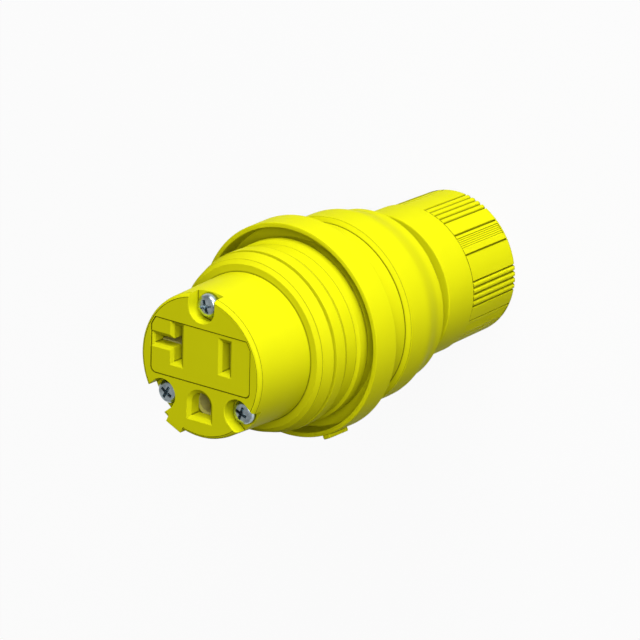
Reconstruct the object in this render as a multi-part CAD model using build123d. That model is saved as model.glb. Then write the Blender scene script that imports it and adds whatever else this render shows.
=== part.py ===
from build123d import *
import os
from math import cos, radians, sin, tan

# Watertight straight blade connector, female, 20 A, 125 V pattern.
# It stands on the rear end of its gland nut with the mating face up.
# X points right and Y up on the mating face, Z runs out of the mating face.
# Depths are measured back from the mating face, in millimetres.

LENGTH = 87.1

# Fits
SLIDE = 0.15
SNUG = 0.05

# Front insulator: the barrel with the mating face
FACE_RADIUS = 15.0
BARREL_FRONT_RADIUS = 15.7
BARREL_REAR_RADIUS = 16.1
BARREL_LENGTH = 16.6
RIM_DEPTH = 1.0
CORE_RADIUS = 15.6
FRONT_INSULATOR_END = 20.0
PANEL_HALF_WIDTH = 13.15
PANEL_TOP = 8.45
PANEL_BOTTOM = -4.1
PANEL_RADIUS = 14.7
PANEL_CORNER = 1.2
PANEL_STEP = 0.2
KEY_ANGLE = 245.3
KEY_WIDTH = 4.2
KEY_REACH = 16.4

# Blade pattern
BLADE_SPACING = 12.7
BLADE_ROW_Y = 3.4
GROUND_DROP = 11.9
GROUND_Y = BLADE_ROW_Y - GROUND_DROP
LEAD_IN = 1.6
LEAD_IN_MARGIN = 0.8
SLOT_WIDTH = 2.0
LINE_SLOT_HEIGHT = 6.7
NEUTRAL_SLOT_HEIGHT = 8.2
NEUTRAL_SLOT_REACH = 12.35
GROUND_SLOT_RADIUS = 2.55
GROUND_SLOT_FLAT = 2.8
CHAMBER_DEPTH = 2.6
CHAMBER_MARGIN = 1.2

# Face screws
SCREW_CIRCLE = 12.9
SCREW_ANGLES = (90, 220, 320)
SCREW_HEAD_RADIUS = 2.55
SCREW_HEAD_HEIGHT = 1.9
SCREW_RADIUS = 1.7
SCREW_HOLE_RADIUS = 1.95
SCREW_SEAT = 3.2
SCREW_END = 36.0
NOTCH_RADIUS = 3.35

# Seal ring behind the barrel
RING_FRONT_RADIUS = 17.8
RING_BEVEL_RADIUS = 18.65
RING_REAR_RADIUS = 19.45
RING_END = 20.4

# Coupling body: ribbed sleeve, open skirt and rear sleeve
SPIGOT_RADIUS = 17.6
GROOVE_END = 21.0
RIB_RADIUS = 19.65
RIB_ROOT_RADIUS = 18.95
FRONT_RIB = (21.0, 24.15)
REAR_RIB = (29.15, 31.2)
RIB_FLANK = 0.85
RIB_NOSE = 0.6
RIB_ROUND = 0.3
RIB_FOOT = 0.5
SKIRT_FRONT = 29.9
SKIRT_REAR = 36.6
SKIRT_RADIUS = 23.2
SKIRT_WALL = 1.05
SKIRT_DRAFT = 0.25
SKIRT_BORE_ROUND = 0.15
SKIRT_LIP_ROUND = 0.25
SKIRT_REAR_ROUND = 0.3
CUP_ROUND = 0.4
CUP_FLOOR = 34.2
INDEX_ANGLE = -64.5
INDEX_WIDTH = 2.0
INDEX_HEIGHT = 0.9
INDEX_ROOT = 0.9
INDEX_MARGIN = 0.2
SLEEVE_RADIUS = 19.55
SLEEVE_END = 44.2
LEDGE_FRONT = 30.0
LEDGE_RADIUS = 9.5
SOCKET_RADIUS = 16.9
INSERT_RADIUS = 2.4
INSERT_FRONT = 31.4
INSERT_LENGTH = 5.0

# Rear housing with its threaded neck
BODY_RADIUS = 20.65
BODY_BEVEL = 0.7
SLOPE_START = 51.9
SLOPE_END = 56.5
BODY_END_RADIUS = 18.85
BODY_END = 58.2
NECK_RADIUS = 13.6
NECK_BORE = 11.6
NECK_END = 70.2
CHAMBER_RADIUS = 14.6
PLUG_FRONT = 38.4
SEAT_RADIUS = 9.4
SEAT_CONE_START = 0.8
SEAT_CONE_END = 3.8
SEAT_LIP = 0.7
SHOULDER_DEPTH = 6.0
O_RING_SECTION = 0.65
O_RING_SETBACK = 2.6
O_RING_DEPTH = PLUG_FRONT + O_RING_SETBACK

# Gland nut
NUT_FRONT = 63.4
NUT_RADIUS = 16.3
COLLAR_END = 72.0
COLLAR_END_RADIUS = 16.15
LAND_RADIUS = 15.85
GRIP_TAPER = 0.976
NUT_SHOULDER = 70.4
NUT_BORE = 11.55
END_WALL = 3.5
CORD_HOLE_RADIUS = 9.0
CORD_HOLE_FLARE = 0.6
COLLAR_BEVEL = 0.3
COLLAR_BEVEL_WIDTH = 0.25
THREAD_LEAD = 0.4
END_CHAMFER = 0.4
GRIP_GROUPS = 5
RIBS_IN_GROUP = 4
RIB_PITCH = 5.1
RIB_HEIGHT = 0.55
PAD_END = 85.9
PAD_GROOVES = (31.5, 48.8)
GROOVE_WIDTH = 1.7
GROOVE_DEPTH = 0.35
TEETH_START = 36.2
TEETH = 6
TOOTH_PITCH = 1.6
TOOTH_DEPTH = 0.4
TOOTH_TOP = 0.05

# Grommet and thrust washer
CORD_RADIUS = 5.5
GROMMET_CLEARANCE = 0.15
GROMMET_GAP = 0.2
WASHER_THICKNESS = 1.2
WASHER_BORE = 8.0

# Contacts and terminals
STRIP = 0.8
LEAF_FRONT = 3.2
LEAF_END = 16.6
LEAF_OFFSET = 1.15
LEAF_WIDTH = 6.4
TERMINAL_X = 9.5
TERMINAL_BEND = 21.9
TERMINAL_END = 28.4
TERMINAL_SCREW_DEPTH = 25.5
TERMINAL_SCREW_RADIUS = 1.6
TERMINAL_HEAD_RADIUS = 2.6
TERMINAL_HEAD_HEIGHT = 1.8
TERMINAL_SCREW_LENGTH = 3.3
CLAMP_THICKNESS = 1.4
CLAMP_FRONT = 23.0
CLAMP_END = 28.0
POCKET_FRONT = 21.2
POCKET_END = 28.8
POCKET_HALF_HEIGHT = 4.05
WIRE_WAY_RADIUS = 2.0
GROUND_TUBE_RADIUS = 3.2
GROUND_TUBE_END = 15.0
GROUND_SLIT = 1.2
STRAP_LAP = 4.0


def height(depth):
    """Height above the nut's rear end of a point at a depth behind the face."""
    return LENGTH - depth


def at_depth(depth):
    """Plane parallel to the mating face."""
    return Plane.XY.offset(height(depth))


def prism(sketch, front, back):
    """Straight block of a sketch between two depths."""
    return extrude(at_depth(back) * sketch, back - front)


def turned(*corners):
    """Solid of revolution from (radius, depth) or (radius, depth, rounding) corners."""
    section = make_face(Polyline([(c[0], height(c[1])) for c in corners], close=True))
    for corner in corners:
        if len(corner) == 3:
            spot = Vector(corner[0], height(corner[1]))
            vertex = section.vertices().sort_by_distance(spot)[0]
            section = fillet(vertex, corner[2])
    return revolve(Plane.XZ * section, Axis.Z)


def polar(radius, angle):
    return (radius * cos(radians(angle)), radius * sin(radians(angle)))


def screw_places():
    return [polar(SCREW_CIRCLE, angle) for angle in SCREW_ANGLES]


def block(x_range, y_range, depth_range):
    """Box between two values of X, two of Y and two depths."""
    width = x_range[1] - x_range[0]
    depth = y_range[1] - y_range[0]
    centre = (x_range[0] + width / 2, y_range[0] + depth / 2)
    return prism(Pos(*centre) * Rectangle(width, depth), *depth_range)


# Outlines of the three blade openings, widened all round by a margin

def line_outline(margin):
    return Pos(BLADE_SPACING / 2, BLADE_ROW_Y) * Rectangle(
        SLOT_WIDTH + 2 * margin, LINE_SLOT_HEIGHT + 2 * margin)


def neutral_outline(margin):
    right = -BLADE_SPACING / 2 + SLOT_WIDTH / 2 + margin
    left = right - SLOT_WIDTH - 2 * margin
    far_left = -NEUTRAL_SLOT_REACH - margin
    half_height = NEUTRAL_SLOT_HEIGHT / 2 + margin
    half_arm = SLOT_WIDTH / 2 + margin
    y = BLADE_ROW_Y
    return make_face(Polyline([
        (right, y - half_height), (right, y + half_height), (left, y + half_height),
        (left, y + half_arm), (far_left, y + half_arm), (far_left, y - half_arm),
        (left, y - half_arm), (left, y - half_height)], close=True))


def ground_outline(margin):
    radius = GROUND_SLOT_RADIUS + margin
    bottom = GROUND_Y - GROUND_SLOT_FLAT - margin
    arch = ThreePointArc((radius, GROUND_Y), (0, GROUND_Y + radius), (-radius, GROUND_Y))
    sides = Polyline([(-radius, GROUND_Y), (-radius, bottom), (radius, bottom), (radius, GROUND_Y)])
    return make_face(arch + sides)


def blade_opening(outline):
    """Bevelled mouth, short slot and the contact chamber behind it."""
    mouth = loft([at_depth(LEAD_IN) * outline(0), at_depth(0) * outline(LEAD_IN_MARGIN)], ruled=True)
    slot = prism(outline(0), LEAD_IN, CHAMBER_DEPTH)
    chamber = prism(outline(CHAMBER_MARGIN), CHAMBER_DEPTH, FRONT_INSULATOR_END)
    return mouth + slot + chamber


def screw_notch(angle):
    """Recess of a face screw, open through the rim of the barrel."""
    reach = BARREL_REAR_RADIUS
    cup = Circle(NOTCH_RADIUS) + Pos(reach / 2, 0) * Rectangle(reach, 2 * NOTCH_RADIUS)
    place = Rot(0, 0, angle) * Pos(SCREW_CIRCLE, 0)
    return prism(place * cup, 0, SCREW_SEAT)


def face_panel():
    """Shallow step round the blade slots, clipped by the round face."""
    middle = (PANEL_TOP + PANEL_BOTTOM) / 2
    panel = Pos(0, middle) * Rectangle(2 * PANEL_HALF_WIDTH, PANEL_TOP - PANEL_BOTTOM)
    low_corners = panel.vertices().sort_by(Axis.Y)[:2]
    panel = fillet(low_corners, PANEL_CORNER)
    return prism(panel & Circle(PANEL_RADIUS), 0, PANEL_STEP)


def make_front_insulator():
    body = turned(
        (0, 0), (FACE_RADIUS, 0), (BARREL_FRONT_RADIUS - 0.2, RIM_DEPTH / 4),
        (BARREL_FRONT_RADIUS, RIM_DEPTH), (BARREL_REAR_RADIUS, BARREL_LENGTH),
        (CORE_RADIUS, BARREL_LENGTH), (CORE_RADIUS, FRONT_INSULATOR_END), (0, FRONT_INSULATOR_END))
    key = Pos(KEY_REACH / 2, 0) * Rectangle(KEY_REACH, KEY_WIDTH)
    key = key & Circle(KEY_REACH)
    body += prism(Rot(0, 0, KEY_ANGLE) * key, 0, BARREL_LENGTH)
    body -= face_panel()
    for outline in (line_outline, neutral_outline, ground_outline):
        body -= blade_opening(outline)
    for angle in SCREW_ANGLES:
        body -= screw_notch(angle)
    for x, y in screw_places():
        body -= prism(Pos(x, y) * Circle(SCREW_HOLE_RADIUS), 0, FRONT_INSULATOR_END)
    return body


def make_contact_holder():
    """Rear insulator: it closes the contact chambers and carries the terminals."""
    holder = turned((0, FRONT_INSULATOR_END), (CORE_RADIUS, FRONT_INSULATOR_END),
                    (CORE_RADIUS, LEDGE_FRONT), (0, LEDGE_FRONT))
    inner = TERMINAL_X - STRIP / 2 - CLAMP_THICKNESS - WIRE_WAY_RADIUS
    row = (BLADE_ROW_Y - POCKET_HALF_HEIGHT, BLADE_ROW_Y + POCKET_HALF_HEIGHT)
    strap_row = (BLADE_ROW_Y - LEAF_WIDTH / 2 - SLIDE, BLADE_ROW_Y + LEAF_WIDTH / 2 + SLIDE)
    strap = BLADE_SPACING / 2 + LEAF_OFFSET
    wall = STRIP / 2 + SLIDE
    for side in (1, -1):
        pocket = block((inner, CORE_RADIUS), row, (POCKET_FRONT, POCKET_END))
        pocket += block((strap - wall, strap + wall), strap_row, (FRONT_INSULATOR_END, POCKET_FRONT))
        wire_way = Pos(inner + WIRE_WAY_RADIUS, BLADE_ROW_Y) * Circle(WIRE_WAY_RADIUS)
        pocket += prism(wire_way, POCKET_END, LEDGE_FRONT)
        holder -= pocket if side == 1 else mirror(pocket, Plane.YZ)
    low = ground_strap_y()
    top = low + STRIP / 2 + CLAMP_THICKNESS + WIRE_WAY_RADIUS
    pocket = block((-POCKET_HALF_HEIGHT, POCKET_HALF_HEIGHT), (-CORE_RADIUS, top),
                   (POCKET_FRONT, POCKET_END))
    pocket += block((-LEAF_WIDTH / 2 - SLIDE, LEAF_WIDTH / 2 + SLIDE),
                    (low - wall, low + wall), (FRONT_INSULATOR_END, POCKET_FRONT))
    wire_way = Pos(0, low + STRIP / 2 + WIRE_WAY_RADIUS) * Circle(WIRE_WAY_RADIUS)
    pocket += prism(wire_way, POCKET_END, LEDGE_FRONT)
    holder -= pocket
    for x, y in screw_places():
        holder -= prism(Pos(x, y) * Circle(SCREW_HOLE_RADIUS), FRONT_INSULATOR_END, LEDGE_FRONT)
    return holder


def bent_strip(corners, width):
    """Strip metal bent along corners of (distance, depth), as wide as given along the third axis."""
    path = FilletPolyline([(c[0], height(c[1])) for c in corners], radius=STRIP * 0.75)
    return extrude(trace(path, STRIP), width / 2, both=True)


def straight_strip(start, end, width):
    path = Line((start[0], height(start[1])), (end[0], height(end[1])))
    return extrude(trace(path, STRIP), width / 2, both=True)


def terminal_hole(plane):
    return extrude(plane * Circle(TERMINAL_SCREW_RADIUS + SNUG), STRIP * 3, both=True)


def side_terminal_plane(distance):
    """Plane across a side terminal screw, with its normal pointing outwards."""
    return Plane((distance, BLADE_ROW_Y, height(TERMINAL_SCREW_DEPTH)), x_dir=(0, 1, 0), z_dir=(1, 0, 0))


def ground_terminal_plane(distance):
    return Plane((0, -distance, height(TERMINAL_SCREW_DEPTH)), x_dir=(1, 0, 0), z_dir=(0, -1, 0))


def ground_strap_y():
    return GROUND_Y - GROUND_TUBE_RADIUS + STRIP / 4


def side_strap():
    """Strap from the contact's base to the terminal plate, on the line side."""
    strap = BLADE_SPACING / 2 + LEAF_OFFSET
    corners = [(strap, LEAF_END), (strap, TERMINAL_BEND), (TERMINAL_X, TERMINAL_BEND),
               (TERMINAL_X, TERMINAL_END)]
    strip = Plane.XZ * bent_strip(corners, LEAF_WIDTH)
    strip = Pos(0, BLADE_ROW_Y, 0) * strip
    return strip - terminal_hole(side_terminal_plane(TERMINAL_X))


def make_line_contact():
    inner = BLADE_SPACING / 2 - LEAF_OFFSET
    outer = BLADE_SPACING / 2 + LEAF_OFFSET
    corners = [(inner, LEAF_FRONT), (inner, LEAF_END), (outer, LEAF_END), (outer, LEAF_FRONT)]
    clip = Pos(0, BLADE_ROW_Y, 0) * (Plane.XZ * bent_strip(corners, LEAF_WIDTH))
    return clip + side_strap()


def make_neutral_contact():
    """Leaves that take an upright or a level blade, on one base."""
    right = -BLADE_SPACING / 2 + LEAF_OFFSET
    left = -BLADE_SPACING / 2 - LEAF_OFFSET
    half = NEUTRAL_SLOT_HEIGHT / 2
    inner_leaf = trace(Line((right, BLADE_ROW_Y - half), (right, BLADE_ROW_Y + half)), STRIP)
    leaves = inner_leaf
    for side in (1, -1):
        bend = FilletPolyline([(left, BLADE_ROW_Y + side * half),
                               (left, BLADE_ROW_Y + side * LEAF_OFFSET),
                               (-NEUTRAL_SLOT_REACH, BLADE_ROW_Y + side * LEAF_OFFSET)],
                              radius=STRIP * 0.75)
        leaves += trace(bend, STRIP)
    contact = prism(leaves, LEAF_FRONT, LEAF_END)
    base = prism(neutral_outline(CHAMBER_MARGIN - SLIDE), LEAF_END - STRIP / 2, LEAF_END + STRIP / 2)
    return contact + base + mirror(side_strap(), Plane.YZ)


def make_ground_contact():
    inner = GROUND_TUBE_RADIUS - STRIP
    tube = Pos(0, GROUND_Y) * (Circle(GROUND_TUBE_RADIUS) - Circle(inner))
    slit = Pos(0, GROUND_Y + GROUND_TUBE_RADIUS) * Rectangle(GROUND_SLIT, 4 * STRIP)
    contact = prism(tube - slit, LEAF_FRONT, GROUND_TUBE_END)
    y = ground_strap_y()
    strap = block((-LEAF_WIDTH / 2, LEAF_WIDTH / 2), (y - STRIP / 2, y + STRIP / 2),
                  (GROUND_TUBE_END - STRAP_LAP, TERMINAL_END))
    strap -= prism(Pos(0, GROUND_Y) * Circle(inner), 0, FRONT_INSULATOR_END)
    return contact + strap - terminal_hole(ground_terminal_plane(-y))


def screw(head_radius, head_height, radius, length):
    """Pan head screw with a cross recess, seat at the origin, head along +Z."""
    shank = Pos(0, 0, -length / 2) * Cylinder(radius, length)
    shank = chamfer(shank.edges().sort_by(Axis.Z)[0], radius * 0.3)
    head = Pos(0, 0, head_height / 2) * Cylinder(head_radius, head_height)
    head = fillet(head.edges().sort_by(Axis.Z)[-1], head_height * 0.55)
    body = head + shank
    arm = Rectangle(head_radius * 1.2, head_radius * 0.28)
    cross = arm + Rot(0, 0, 90) * arm
    recess = extrude(Plane.XY.offset(head_height) * cross, -head_height * 0.6)
    return body - recess


def make_face_screw(angle):
    x, y = polar(SCREW_CIRCLE, angle)
    fastener = screw(SCREW_HEAD_RADIUS, SCREW_HEAD_HEIGHT, SCREW_RADIUS, SCREW_END - SCREW_SEAT)
    return Pos(x, y, height(SCREW_SEAT)) * Rot(0, 0, angle + 20) * fastener


def make_screw_insert(angle):
    x, y = polar(SCREW_CIRCLE, angle)
    ring = Pos(x, y) * (Circle(INSERT_RADIUS) - Circle(SCREW_RADIUS + SNUG))
    return prism(ring, INSERT_FRONT, INSERT_FRONT + INSERT_LENGTH)


def make_terminal_screw(plane):
    fastener = screw(TERMINAL_HEAD_RADIUS, TERMINAL_HEAD_HEIGHT, TERMINAL_SCREW_RADIUS,
                     TERMINAL_SCREW_LENGTH)
    return plane * fastener


def make_clamp_plate(plane):
    """Pressure plate that the terminal screw draws up under the terminal."""
    length = CLAMP_END - CLAMP_FRONT
    along = height((CLAMP_END + CLAMP_FRONT) / 2) - height(TERMINAL_SCREW_DEPTH)
    across = plane.x_dir.cross(Vector(0, 0, 1))
    sketch = Rectangle(LEAF_WIDTH, length)
    local_z = plane.to_local_coords(Vector(0, 0, 1)) - plane.to_local_coords(Vector(0, 0, 0))
    sketch = Pos(local_z.X * along, local_z.Y * along) * sketch
    plate = extrude(plane * sketch, -CLAMP_THICKNESS)
    hole = extrude(plane * Circle(TERMINAL_SCREW_RADIUS + SNUG), -CLAMP_THICKNESS)
    return plate - hole


def make_seal_ring():
    bevel = RING_BEVEL_RADIUS - RING_FRONT_RADIUS
    return turned(
        (CORE_RADIUS + SNUG, BARREL_LENGTH), (RING_FRONT_RADIUS, BARREL_LENGTH),
        (RING_BEVEL_RADIUS, BARREL_LENGTH + bevel), (RING_REAR_RADIUS, RING_END, 0.25),
        (CORE_RADIUS + SNUG, RING_END))


def make_coupling_body():
    bore = CORE_RADIUS + SLIDE
    front_start, front_end = FRONT_RIB
    rear_start, rear_end = REAR_RIB
    skirt_bore = SKIRT_RADIUS - SKIRT_WALL
    cup_radius = skirt_bore - SKIRT_DRAFT
    cup_round = min(CUP_ROUND, (cup_radius - RIB_ROOT_RADIUS) * 0.45)
    shoulder_round = min(CUP_ROUND, (SKIRT_RADIUS - SLEEVE_RADIUS) * 0.45)
    body = turned(
        (bore, RING_END), (SPIGOT_RADIUS, RING_END), (SPIGOT_RADIUS, GROOVE_END),
        (RIB_RADIUS, front_start, RIB_NOSE), (RIB_RADIUS, front_end, RIB_ROUND),
        (RIB_ROOT_RADIUS, front_end + RIB_FLANK, RIB_FOOT),
        (RIB_ROOT_RADIUS, rear_start - RIB_FLANK, RIB_FOOT),
        (RIB_RADIUS, rear_start, RIB_ROUND), (RIB_RADIUS, rear_end, RIB_ROUND),
        (RIB_ROOT_RADIUS, rear_end + RIB_FLANK, RIB_FOOT), (RIB_ROOT_RADIUS, CUP_FLOOR, cup_round),
        (cup_radius, CUP_FLOOR, cup_round), (skirt_bore, SKIRT_FRONT, SKIRT_BORE_ROUND),
        (SKIRT_RADIUS, SKIRT_FRONT, SKIRT_LIP_ROUND), (SKIRT_RADIUS, SKIRT_REAR, SKIRT_REAR_ROUND),
        (SLEEVE_RADIUS, SKIRT_REAR, shoulder_round), (SLEEVE_RADIUS, SLEEVE_END),
        (SOCKET_RADIUS, SLEEVE_END), (SOCKET_RADIUS, INSERT_FRONT + INSERT_LENGTH),
        (LEDGE_RADIUS, INSERT_FRONT + INSERT_LENGTH), (LEDGE_RADIUS, LEDGE_FRONT), (bore, LEDGE_FRONT))
    index_depth = INDEX_HEIGHT + INDEX_ROOT
    index = Pos(SKIRT_RADIUS + INDEX_HEIGHT - index_depth / 2, 0) * Rectangle(index_depth, INDEX_WIDTH)
    index = fillet(index.vertices().sort_by(Axis.X)[-2:], INDEX_WIDTH / 5)
    body += prism(Rot(0, 0, INDEX_ANGLE) * index, SKIRT_FRONT + INDEX_MARGIN, SKIRT_REAR - INDEX_MARGIN)
    for x, y in screw_places():
        body -= prism(Pos(x, y) * Circle(SCREW_HOLE_RADIUS), LEDGE_FRONT, INSERT_FRONT)
        body -= prism(Pos(x, y) * Circle(INSERT_RADIUS + SNUG), INSERT_FRONT, INSERT_FRONT + INSERT_LENGTH)
    return body


def make_rear_housing():
    plug = SOCKET_RADIUS - SLIDE
    groove = O_RING_SECTION + SNUG
    return turned(
        (CHAMBER_RADIUS, PLUG_FRONT), (plug, PLUG_FRONT), (plug, O_RING_DEPTH - groove),
        (plug - 2 * groove, O_RING_DEPTH - groove), (plug - 2 * groove, O_RING_DEPTH + groove),
        (plug, O_RING_DEPTH + groove), (plug, SLEEVE_END), (SLEEVE_RADIUS, SLEEVE_END),
        (BODY_RADIUS, SLEEVE_END + BODY_BEVEL, 0.3), (BODY_RADIUS, SLOPE_START, 12),
        (BODY_END_RADIUS, SLOPE_END, 6), (BODY_END_RADIUS, BODY_END, 0.3),
        (NECK_RADIUS, BODY_END), (NECK_RADIUS, NECK_END), (NECK_BORE, NECK_END),
        (NECK_BORE, BODY_END + SEAT_CONE_END), (SEAT_RADIUS, BODY_END + SEAT_CONE_START),
        (SEAT_RADIUS, BODY_END - SEAT_LIP), (CHAMBER_RADIUS, BODY_END - SHOULDER_DEPTH))


def make_body_o_ring():
    radius = SOCKET_RADIUS - SLIDE - O_RING_SECTION
    section = Pos(radius, height(O_RING_DEPTH)) * Circle(O_RING_SECTION)
    return revolve(Plane.XZ * section, Axis.Z)


def land_arc(start, end):
    middle = (start + end) / 2
    return ThreePointArc(polar(LAND_RADIUS, start), polar(LAND_RADIUS, middle), polar(LAND_RADIUS, end))


def grip_outline():
    """Section of the nut's grip: groups of ribs on a round land."""
    outline = None
    step = 360 / GRIP_GROUPS
    half_group = RIBS_IN_GROUP * RIB_PITCH / 2
    for group in range(GRIP_GROUPS):
        base = group * step
        zigzag = []
        for rib in range(RIBS_IN_GROUP):
            foot = base - half_group + rib * RIB_PITCH
            zigzag += [polar(LAND_RADIUS, foot), polar(LAND_RADIUS + RIB_HEIGHT, foot + RIB_PITCH / 2)]
        zigzag.append(polar(LAND_RADIUS, base + half_group))
        edges = Polyline(zigzag) + land_arc(base + half_group, base + step - half_group)
        outline = outline + edges if outline else edges
    return make_face(outline)


def pad_outline():
    """What is cut between two rib groups: two grooves and a row of saw teeth."""
    outside = LAND_RADIUS + GROOVE_DEPTH
    floor = LAND_RADIUS - TOOTH_DEPTH
    saw = [polar(outside, TEETH_START - GROOVE_WIDTH)]
    for tooth in range(TEETH):
        angle = TEETH_START + tooth * TOOTH_PITCH
        saw += [polar(floor, angle), polar(LAND_RADIUS - TOOTH_TOP, angle + TOOTH_PITCH)]
    saw.append(polar(outside, TEETH_START + TEETH * TOOTH_PITCH))
    outline = make_face(Polyline(saw, close=True))
    for angle in PAD_GROOVES:
        groove = [polar(outside, angle - GROOVE_WIDTH), polar(LAND_RADIUS - GROOVE_DEPTH, angle),
                  polar(outside, angle + GROOVE_WIDTH)]
        outline += make_face(Polyline(groove, close=True))
    return outline


def grip_loft(section, back):
    """Section carried from the collar to a depth, along the grip's taper."""
    taper = 1 - (1 - GRIP_TAPER) * (back - COLLAR_END) / (LENGTH - COLLAR_END)
    return loft([at_depth(back) * scale(section, taper), at_depth(COLLAR_END) * section], ruled=True)


def make_gland_nut():
    thread_bore = NECK_RADIUS + SLIDE
    end_radius = LAND_RADIUS * GRIP_TAPER - END_CHAMFER
    full_radius = LAND_RADIUS + 2 * RIB_HEIGHT
    envelope = turned((0, COLLAR_END), (full_radius, COLLAR_END),
                      (full_radius, LENGTH - full_radius + end_radius), (end_radius, LENGTH), (0, LENGTH))
    grip = grip_loft(grip_outline(), LENGTH) & envelope
    for group in range(GRIP_GROUPS):
        for groove in pad_outline().faces():
            grip -= Rot(0, 0, group * 360 / GRIP_GROUPS) * grip_loft(groove, PAD_END)
    collar = turned((0, NUT_FRONT), (NUT_RADIUS - COLLAR_BEVEL_WIDTH, NUT_FRONT),
                    (NUT_RADIUS, NUT_FRONT + COLLAR_BEVEL), (COLLAR_END_RADIUS, COLLAR_END), (0, COLLAR_END))
    nut = collar + grip
    nut -= turned((0, NUT_FRONT), (thread_bore + THREAD_LEAD, NUT_FRONT),
                  (thread_bore, NUT_FRONT + THREAD_LEAD), (thread_bore, NUT_SHOULDER), (NUT_BORE, NUT_SHOULDER),
                  (NUT_BORE, LENGTH - END_WALL), (0, LENGTH - END_WALL))
    nut -= turned((0, LENGTH - END_WALL), (CORD_HOLE_RADIUS, LENGTH - END_WALL),
                  (CORD_HOLE_RADIUS, LENGTH - CORD_HOLE_FLARE), (CORD_HOLE_RADIUS + CORD_HOLE_FLARE, LENGTH),
                  (0, LENGTH))
    return nut


def make_cord_grommet():
    radius = NUT_BORE - GROMMET_CLEARANCE
    front = BODY_END + GROMMET_GAP
    end = LENGTH - END_WALL - WASHER_THICKNESS
    return turned(
        (CORD_RADIUS, front + SEAT_CONE_START), (SEAT_RADIUS - GROMMET_CLEARANCE, front + SEAT_CONE_START),
        (radius, front + SEAT_CONE_END), (radius, end, 0.4), (CORD_RADIUS, end, 0.8))


def make_thrust_washer():
    end = LENGTH - END_WALL
    radius = NUT_BORE - GROMMET_CLEARANCE
    return turned((WASHER_BORE, end - WASHER_THICKNESS), (radius, end - WASHER_THICKNESS),
                  (radius, end), (WASHER_BORE, end))


def parts():
    seat = TERMINAL_X + STRIP / 2
    under = TERMINAL_X - STRIP / 2
    ground_seat = -ground_strap_y() + STRIP / 2
    ground_under = -ground_strap_y() - STRIP / 2
    line_screw = make_terminal_screw(side_terminal_plane(seat))
    line_clamp = make_clamp_plate(side_terminal_plane(under))
    pieces = {
        "front_insulator": make_front_insulator(),
        "contact_holder": make_contact_holder(),
        "line_contact": make_line_contact(),
        "neutral_contact": make_neutral_contact(),
        "ground_contact": make_ground_contact(),
        "line_terminal_screw": line_screw,
        "neutral_terminal_screw": mirror(line_screw, Plane.YZ),
        "ground_terminal_screw": make_terminal_screw(ground_terminal_plane(ground_seat)),
        "line_clamp_plate": line_clamp,
        "neutral_clamp_plate": mirror(line_clamp, Plane.YZ),
        "ground_clamp_plate": make_clamp_plate(ground_terminal_plane(ground_under)),
        "seal_ring": make_seal_ring(),
        "coupling_body": make_coupling_body(),
        "rear_housing": make_rear_housing(),
        "body_o_ring": make_body_o_ring(),
        "gland_nut": make_gland_nut(),
        "cord_grommet": make_cord_grommet(),
        "thrust_washer": make_thrust_washer(),
    }
    for name, angle in zip(("top", "left", "right"), SCREW_ANGLES):
        pieces["face_screw_" + name] = make_face_screw(angle)
        pieces["screw_insert_" + name] = make_screw_insert(angle)
    return pieces


os.makedirs("parts", exist_ok=True)
for node, shape in parts().items():
    export_step(shape, "parts/" + node + ".step")
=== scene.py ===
from math import atan2, cos, degrees, radians, sin

import bpy
from mathutils import Matrix, Vector


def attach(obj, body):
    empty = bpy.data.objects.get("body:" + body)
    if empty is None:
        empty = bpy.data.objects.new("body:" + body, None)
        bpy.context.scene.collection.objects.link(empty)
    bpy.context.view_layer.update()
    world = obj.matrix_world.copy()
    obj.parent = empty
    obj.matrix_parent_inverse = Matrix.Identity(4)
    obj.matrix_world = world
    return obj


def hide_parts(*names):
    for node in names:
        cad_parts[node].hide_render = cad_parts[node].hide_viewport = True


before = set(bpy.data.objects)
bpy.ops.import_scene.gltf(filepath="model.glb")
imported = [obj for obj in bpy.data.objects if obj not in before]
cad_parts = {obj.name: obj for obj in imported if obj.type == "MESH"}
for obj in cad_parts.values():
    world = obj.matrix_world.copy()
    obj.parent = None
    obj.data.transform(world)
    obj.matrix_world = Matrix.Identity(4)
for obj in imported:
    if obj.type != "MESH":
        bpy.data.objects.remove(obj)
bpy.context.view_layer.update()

bl_info = {
    "name": "Watertight straight blade connector",
    "version": (1, 0, 0),
    "blender": (4, 5, 0),
    "location": "View3D > Sidebar > Connector",
    "description": "Models the visible pieces and finishes of a yellow watertight cord connector",
    "category": "Object",
}

# Everything is modelled in millimetres and brought to metres when a piece is finished
MM = 0.001
BODY = "root"
SEGMENTS = 144

# Face screws: angles round the axis, radius of their circle, depth of their seat and radius of their holes
SCREW_ANGLES = {"top": 90, "left": 220, "right": 320}
SCREW_CIRCLE = 12.9
SCREW_SEAT = 3.2
SCREW_HOLE = 1.95


class ConnectorSizes(bpy.types.PropertyGroup):
    length: bpy.props.FloatProperty(
        name="Length", description="From the mating face to the nut's rear end",
        default=0.0871, unit="LENGTH")
    face_radius: bpy.props.FloatProperty(
        name="Face radius", description="Radius of the flat mating face", default=0.015, unit="LENGTH")
    barrel_radius: bpy.props.FloatProperty(
        name="Barrel radius", description="Radius of the barrel at its rear", default=0.0161, unit="LENGTH")
    skirt_radius: bpy.props.FloatProperty(
        name="Skirt radius", description="Outer radius of the open skirt", default=0.0232, unit="LENGTH")
    housing_radius: bpy.props.FloatProperty(
        name="Housing radius", description="Radius of the rear housing", default=0.02065, unit="LENGTH")
    nut_radius: bpy.props.FloatProperty(
        name="Nut radius", description="Radius of the gland nut's collar", default=0.0163, unit="LENGTH")
    edge_round: bpy.props.FloatProperty(
        name="Edge rounding", description="Width of the small bevels on the key",
        default=0.00012, unit="LENGTH")


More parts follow.
